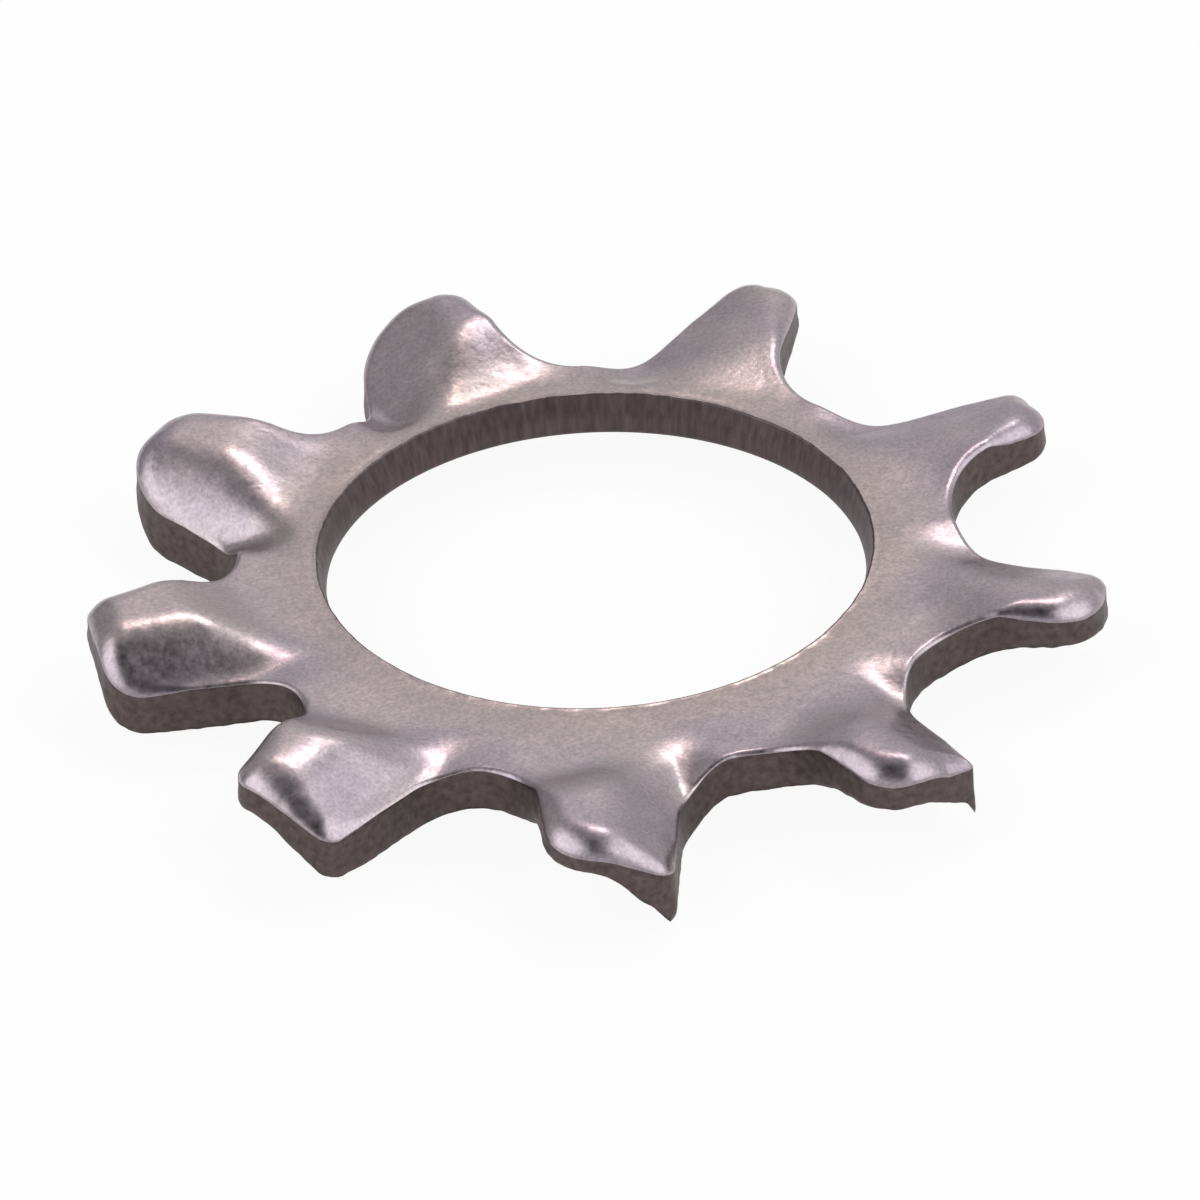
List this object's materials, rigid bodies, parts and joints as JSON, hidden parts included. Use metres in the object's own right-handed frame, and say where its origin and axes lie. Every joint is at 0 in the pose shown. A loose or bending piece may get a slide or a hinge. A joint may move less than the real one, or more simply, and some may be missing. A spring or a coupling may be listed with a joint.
{
  "type": "toothed lock washer",
  "caption": "Flat ring of sheet steel with twisted outer teeth that bite the screw head and the part below, so a screw can't work loose.",
  "frame": {"origin": "on the bore's axis, at the middle of the sheet's thickness", "axes": "+Z along the bore's axis, away from the surface the washer lies on, towards the side with the rolled edges; +Y towards the side where the ring is narrowest; +X to the right, seen from above with +Y up the page"},
  "size_m": [0.0152, 0.0151, 0.0014],
  "materials": {
    "steel": "tumbled spring steel, dull grey with a slight warm tint, brighter on the rolled edges"
  },
  "bodies": {
    "root": {"lock_washer": "steel"}
  },
  "joints": []
}
